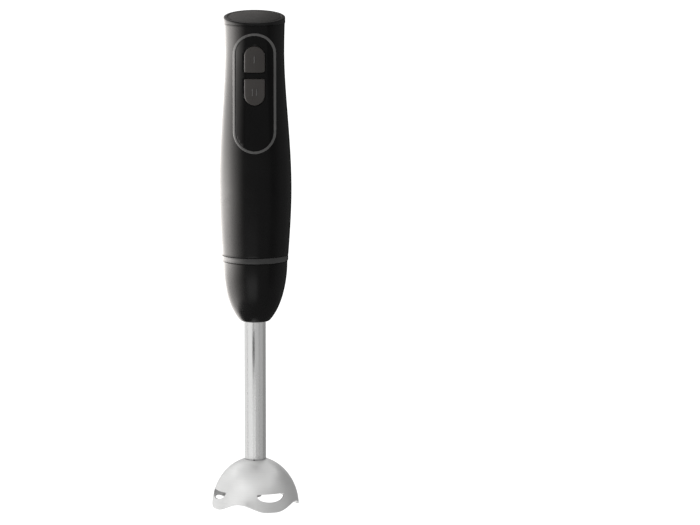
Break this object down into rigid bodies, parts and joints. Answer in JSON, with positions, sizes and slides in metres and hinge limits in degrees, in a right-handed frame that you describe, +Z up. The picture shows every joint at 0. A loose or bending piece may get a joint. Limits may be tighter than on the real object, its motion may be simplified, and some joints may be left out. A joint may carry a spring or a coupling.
{
  "type": "immersion blender",
  "caption": "Stick blender with a round motor handle, speed buttons in an oval panel, a turning lock ring and a detachable steel leg with a bell-shaped blade guard.",
  "frame": {"origin": "on the floor under the middle of the blade guard, on which the blender stands", "axes": "+Z up along the handle and the leg, the buttons face -Y"},
  "size_m": [0.0682, 0.0682, 0.3902],
  "materials": {
    "body_plastic": "satin-gloss black",
    "cap_plastic": "glossy dark grey",
    "panel_gloss": "high-gloss black",
    "trim_plastic": "satin dark grey",
    "button_plastic": "satin warm grey",
    "ring_plastic": "satin mid grey",
    "steel_polished": "polished stainless steel",
    "steel_brushed": "brushed stainless steel",
    "steel_dark": "plain steel",
    "blade_steel": "ground stainless steel",
    "inner_plastic": "moulded black plastic",
    "white_plastic": "moulded white plastic",
    "seal_rubber": "moulded rubber",
    "bronze": "sintered bronze",
    "copper": "enamelled copper",
    "magnet_dark": "ferrite",
    "board_green": "circuit board",
    "component_blue": "moulded component"
  },
  "bodies": {
    "handle": {"front_housing": "body_plastic", "rear_housing": "body_plastic", "top_cap": "cap_plastic", "cord_gland": "seal_rubber", "button_panel": "panel_gloss", "panel_ring": "trim_plastic", "housing_screws": "steel_dark", "switch_holder": "white_plastic", "circuit_board": "board_green", "micro_switches": "inner_plastic", "board_screws": "steel_dark", "suppression_capacitor": "component_blue", "bridge_rectifier": "inner_plastic", "motor_leads": "copper", "leg_socket": "inner_plastic", "damper_ring": "seal_rubber", "motor_cage": "white_plastic", "motor_can": "steel_dark", "lower_bearing": "bronze", "magnets": "magnet_dark", "motor_end_cap": "white_plastic", "upper_bearing": "bronze", "brushes": "magnet_dark", "brush_springs": "steel_dark", "motor_screws": "steel_dark"},
    "button_1": {"speed_button_1": "button_plastic", "switch_plunger_1": "white_plastic", "button_spring_1": "steel_dark"},
    "button_2": {"speed_button_2": "button_plastic", "switch_plunger_2": "white_plastic", "button_spring_2": "steel_dark"},
    "ring": {"lock_ring": "ring_plastic"},
    "rotor": {"armature_core": "steel_dark", "armature_windings": "copper", "commutator": "copper", "motor_shaft": "steel_dark", "cooling_fan": "inner_plastic", "motor_coupling": "white_plastic"},
    "leg": {"leg_cone": "body_plastic", "leg_adaptor": "inner_plastic", "adaptor_screws": "steel_dark", "plug_o_ring": "seal_rubber", "shaft_tube": "steel_polished", "bush_carrier": "inner_plastic", "upper_bush": "bronze", "tube_spacer": "inner_plastic", "blade_guard": "steel_brushed", "guard_hub": "inner_plastic", "lower_bush": "bronze", "shaft_seal": "seal_rubber"},
    "blade_shaft": {"drive_shaft": "steel_dark", "shaft_coupling": "white_plastic", "shaft_clip": "steel_dark", "thrust_washer": "steel_dark", "blade_hub": "steel_dark", "blade": "blade_steel", "blade_nut": "steel_dark"}
  },
  "joints": [
    {"name": "press_speed_1", "type": "slide", "parent": "handle", "child": "button_1", "axis": [0, 1, 0], "range_m": [0, 0.0014], "stiffness_N_per_m": 900, "springref_m": -0.0012, "deforming": ["button_spring_1"]},
    {"name": "press_speed_2", "type": "slide", "parent": "handle", "child": "button_2", "axis": [0, 1, 0], "range_m": [0, 0.0014], "stiffness_N_per_m": 900, "springref_m": -0.0012, "deforming": ["button_spring_2"]},
    {"name": "turn_lock_ring", "type": "hinge", "parent": "handle", "child": "ring", "pos_m": [0, 0, 0.196], "axis": [0, 0, 1], "range_deg": [0, 45]},
    {"name": "spin_motor", "type": "hinge", "parent": "handle", "child": "rotor", "pos_m": [0, 0, 0.27], "axis": [0, 0, 1], "continuous": true},
    {"name": "pull_leg", "type": "slide", "parent": "handle", "child": "leg", "axis": [0, 0, -1], "range_m": [0, 0.03]},
    {"name": "spin_blade", "type": "hinge", "parent": "leg", "child": "blade_shaft", "pos_m": [0, 0, 0.1], "axis": [0, 0, 1], "continuous": true}
  ],
  "couplings": [
    {"joint": "spin_blade", "follows": "spin_motor", "ratio": 1}
  ]
}
